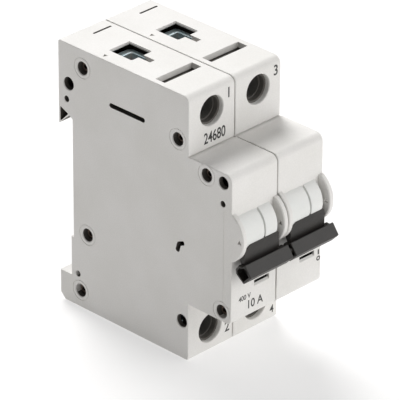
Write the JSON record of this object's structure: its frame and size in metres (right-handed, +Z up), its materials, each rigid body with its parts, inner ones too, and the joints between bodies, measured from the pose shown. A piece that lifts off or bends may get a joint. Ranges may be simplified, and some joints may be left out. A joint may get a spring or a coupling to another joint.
{
  "type": "miniature circuit breaker",
  "caption": "Modular circuit breaker for a top-hat rail, with linked toggle levers, recessed terminal screws and a spring clip at the foot.",
  "frame": {"origin": "middle of the bounding box's bottom face, so x = 0 is the seam between the poles and z = 0 the bottom face", "axes": "+Z up along the rail-to-rail height, +Y from the toggle side back to the rail, +X across the poles"},
  "size_m": [0.035, 0.073, 0.08],
  "materials": {
    "housing": "fine moulded texture, light warm grey",
    "drum_plastic": "smooth moulded, pale grey",
    "lever_plastic": "matte spark-eroded texture, charcoal",
    "clip_plastic": "moulded dark grey",
    "flag_plastic": "moulded light grey",
    "trip_plastic": "moulded tan",
    "zinc": "blue-passivated zinc plate",
    "steel": "plain stamped steel",
    "rivet": "dull tubular steel",
    "copper": "stamped copper",
    "coil": "enamelled copper winding",
    "bimetal": "rolled bimetal"
  },
  "bodies": {
    "housing": {"base_shell_1": "housing", "side_cover_1": "housing", "line_terminal_plate_1": "copper", "load_terminal_plate_1": "copper", "magnet_coil_1": "coil", "magnet_yoke_1": "steel", "fixed_contact_1": "copper", "arc_chute_1": "steel", "arc_runner_1": "copper", "contact_spring_1": "steel", "bimetal_strip_1": "bimetal", "calibration_screw_1": "steel", "braid_1": "copper", "toggle_pin_1": "steel", "base_shell_2": "housing", "side_cover_2": "housing", "line_terminal_plate_2": "copper", "load_terminal_plate_2": "copper", "magnet_coil_2": "coil", "magnet_yoke_2": "steel", "fixed_contact_2": "copper", "arc_chute_2": "steel", "arc_runner_2": "copper", "contact_spring_2": "steel", "bimetal_strip_2": "bimetal", "calibration_screw_2": "steel", "braid_2": "copper", "toggle_pin_2": "steel", "case_rivet_1": "rivet", "case_rivet_2": "rivet", "case_rivet_3": "rivet", "case_rivet_4": "rivet", "case_rivet_5": "rivet", "case_rivet_6": "rivet"},
    "handle": {"toggle_drum_1": "drum_plastic", "toggle_lever_1": "lever_plastic", "toggle_drum_2": "drum_plastic", "toggle_lever_2": "lever_plastic", "handle_tie": "lever_plastic"},
    "contact_1": {"moving_contact_1": "copper"},
    "link_1": {"toggle_link_1": "steel"},
    "flag_1": {"position_flag_1": "flag_plastic"},
    "line_screw_1": {"line_screw_1": "zinc"},
    "line_clamp_1": {"line_clamp_1": "zinc"},
    "load_screw_1": {"load_screw_1": "zinc"},
    "load_clamp_1": {"load_clamp_1": "zinc"},
    "clip_1": {"din_clip_1": "clip_plastic"},
    "plunger_1": {"plunger_1": "steel"},
    "trip_1": {"trip_lever_1": "trip_plastic"},
    "contact_2": {"moving_contact_2": "copper"},
    "link_2": {"toggle_link_2": "steel"},
    "flag_2": {"position_flag_2": "flag_plastic"},
    "line_screw_2": {"line_screw_2": "zinc"},
    "line_clamp_2": {"line_clamp_2": "zinc"},
    "load_screw_2": {"load_screw_2": "zinc"},
    "load_clamp_2": {"load_clamp_2": "zinc"},
    "clip_2": {"din_clip_2": "clip_plastic"},
    "plunger_2": {"plunger_2": "steel"},
    "trip_2": {"trip_lever_2": "trip_plastic"}
  },
  "joints": [
    {"name": "handle_throw", "type": "hinge", "parent": "housing", "child": "handle", "pos_m": [0, -0.0256, 0.044], "axis": [-1, 0, 0], "range_deg": [0, 90]},
    {"name": "contact_swing_1", "type": "hinge", "parent": "housing", "child": "contact_1", "pos_m": [-0.00882, -0.0022, 0.028], "axis": [-1, 0, 0], "range_deg": [0, 24.5]},
    {"name": "link_swing_1", "type": "hinge", "parent": "handle", "child": "link_1", "pos_m": [-0.00252, -0.02637, 0.04648], "axis": [-1, 0, 0], "range_deg": [-95, 0]},
    {"name": "flag_slide_1", "type": "slide", "parent": "housing", "child": "flag_1", "axis": [0, 0, 1], "range_m": [0, 0.00205]},
    {"name": "line_clamp_slide_1", "type": "slide", "parent": "housing", "child": "line_clamp_1", "axis": [0, -1, 0], "range_m": [0, 0.006]},
    {"name": "line_screw_turn_1", "type": "hinge", "parent": "housing", "child": "line_screw_1", "pos_m": [-0.00882, 0.0008, 0.0731], "axis": [0, 1, 0], "range_deg": [0, 2701]},
    {"name": "load_clamp_slide_1", "type": "slide", "parent": "housing", "child": "load_clamp_1", "axis": [0, -1, 0], "range_m": [0, 0.006]},
    {"name": "load_screw_turn_1", "type": "hinge", "parent": "housing", "child": "load_screw_1", "pos_m": [-0.00882, 0.0008, 0.0069], "axis": [0, 1, 0], "range_deg": [0, 2701]},
    {"name": "clip_slide_1", "type": "slide", "parent": "housing", "child": "clip_1", "axis": [0, 0, -1], "range_m": [0, 0.0035], "stiffness_N_per_m": 600},
    {"name": "plunger_slide_1", "type": "slide", "parent": "housing", "child": "plunger_1", "axis": [0, -1, 0], "range_m": [0, 0.0022], "stiffness_N_per_m": 150},
    {"name": "trip_swing_1", "type": "hinge", "parent": "housing", "child": "trip_1", "pos_m": [-0.00882, -0.0092, 0.046], "axis": [1, 0, 0], "range_deg": [0, 12], "stiffness_Nm_per_rad": 0.01},
    {"name": "contact_swing_2", "type": "hinge", "parent": "housing", "child": "contact_2", "pos_m": [0.00882, -0.0022, 0.028], "axis": [-1, 0, 0], "range_deg": [0, 24.5]},
    {"name": "link_swing_2", "type": "hinge", "parent": "handle", "child": "link_2", "pos_m": [0.01512, -0.02637, 0.04648], "axis": [-1, 0, 0], "range_deg": [-95, 0]},
    {"name": "flag_slide_2", "type": "slide", "parent": "housing", "child": "flag_2", "axis": [0, 0, 1], "range_m": [0, 0.00205]},
    {"name": "line_clamp_slide_2", "type": "slide", "parent": "housing", "child": "line_clamp_2", "axis": [0, -1, 0], "range_m": [0, 0.006]},
    {"name": "line_screw_turn_2", "type": "hinge", "parent": "housing", "child": "line_screw_2", "pos_m": [0.00882, 0.0008, 0.0731], "axis": [0, 1, 0], "range_deg": [0, 2701]},
    {"name": "load_clamp_slide_2", "type": "slide", "parent": "housing", "child": "load_clamp_2", "axis": [0, -1, 0], "range_m": [0, 0.006]},
    {"name": "load_screw_turn_2", "type": "hinge", "parent": "housing", "child": "load_screw_2", "pos_m": [0.00882, 0.0008, 0.0069], "axis": [0, 1, 0], "range_deg": [0, 2701]},
    {"name": "clip_slide_2", "type": "slide", "parent": "housing", "child": "clip_2", "axis": [0, 0, -1], "range_m": [0, 0.0035], "stiffness_N_per_m": 600},
    {"name": "plunger_slide_2", "type": "slide", "parent": "housing", "child": "plunger_2", "axis": [0, -1, 0], "range_m": [0, 0.0022], "stiffness_N_per_m": 150},
    {"name": "trip_swing_2", "type": "hinge", "parent": "housing", "child": "trip_2", "pos_m": [0.00882, -0.0092, 0.046], "axis": [1, 0, 0], "range_deg": [0, 12], "stiffness_Nm_per_rad": 0.01}
  ],
  "couplings": [
    {"joint": "contact_swing_1", "follows": "handle_throw", "ratio": 0.26667},
    {"joint": "link_swing_1", "follows": "handle_throw", "ratio": -1.049},
    {"joint": "flag_slide_1", "follows": "handle_throw", "m_per_rad": 0.0012732},
    {"joint": "line_screw_turn_1", "follows": "line_clamp_slide_1", "rad_per_m": 7854},
    {"joint": "load_screw_turn_1", "follows": "load_clamp_slide_1", "rad_per_m": 7854},
    {"joint": "contact_swing_2", "follows": "handle_throw", "ratio": 0.26667},
    {"joint": "link_swing_2", "follows": "handle_throw", "ratio": -1.049},
    {"joint": "flag_slide_2", "follows": "handle_throw", "m_per_rad": 0.0012732},
    {"joint": "line_screw_turn_2", "follows": "line_clamp_slide_2", "rad_per_m": 7854},
    {"joint": "load_screw_turn_2", "follows": "load_clamp_slide_2", "rad_per_m": 7854}
  ]
}
